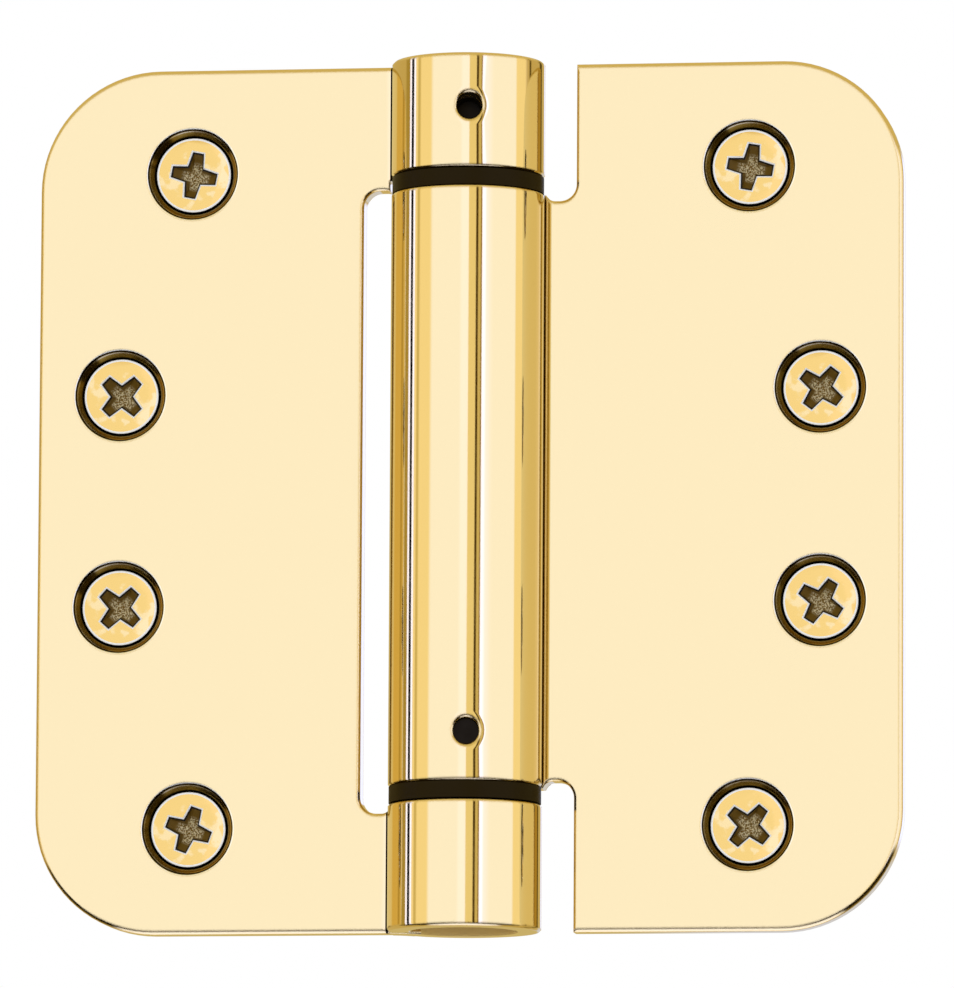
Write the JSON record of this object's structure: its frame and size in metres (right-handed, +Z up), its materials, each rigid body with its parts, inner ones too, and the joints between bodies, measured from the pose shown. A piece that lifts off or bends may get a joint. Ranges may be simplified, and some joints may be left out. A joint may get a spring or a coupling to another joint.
{
  "type": "spring hinge",
  "caption": "Full mortise spring hinge with round-cornered leaves, a rolled barrel with black bushes, a wound torsion spring inside and flat-head screws.",
  "frame": {"origin": "on the pin axis, at the barrel's lower end", "axes": "+Z up along the pin axis; the countersunk faces look towards -Y; frame leaf on the -X side, door leaf on the +X side, laid flat at 180 degrees"},
  "size_m": [0.1142, 0.0442, 0.1143],
  "materials": {
    "polished_brass": "mirror polished and lacquered",
    "brass_plated_screw": "bright plated",
    "black_nylon": "moulded, satin",
    "blackened_steel": "black oxide",
    "zinc_plated_steel": "turned, zinc plated",
    "spring_steel": "oil tempered"
  },
  "bodies": {
    "frame_side": {"frame_leaf": "polished_brass", "lower_pivot": "zinc_plated_steel", "centre_rod": "zinc_plated_steel", "retaining_ring": "spring_steel", "thrust_washer": "zinc_plated_steel", "frame_screw_1": "brass_plated_screw", "frame_screw_2": "brass_plated_screw", "frame_screw_3": "brass_plated_screw", "frame_screw_4": "brass_plated_screw"},
    "door_side": {"door_leaf": "polished_brass", "upper_bearing": "black_nylon", "lower_bearing": "black_nylon", "spring_anchor": "zinc_plated_steel", "anchor_pin": "blackened_steel", "torsion_spring": "spring_steel", "door_screw_1": "brass_plated_screw", "door_screw_2": "brass_plated_screw", "door_screw_3": "brass_plated_screw", "door_screw_4": "brass_plated_screw"},
    "adjuster": {"tension_adjuster": "blackened_steel"}
  },
  "joints": [
    {"name": "leaf_swing", "type": "hinge", "parent": "frame_side", "child": "door_side", "pos_m": [0, 0, 0], "axis": [0, 0, 1], "range_deg": [-180, 0], "stiffness_Nm_per_rad": 0.35, "deforming": ["torsion_spring"]},
    {"name": "adjuster_turn", "type": "hinge", "parent": "frame_side", "child": "adjuster", "pos_m": [0, 0, 0.112], "axis": [0, 0, 1], "range_deg": [-270, 0], "deforming": ["torsion_spring"]}
  ]
}
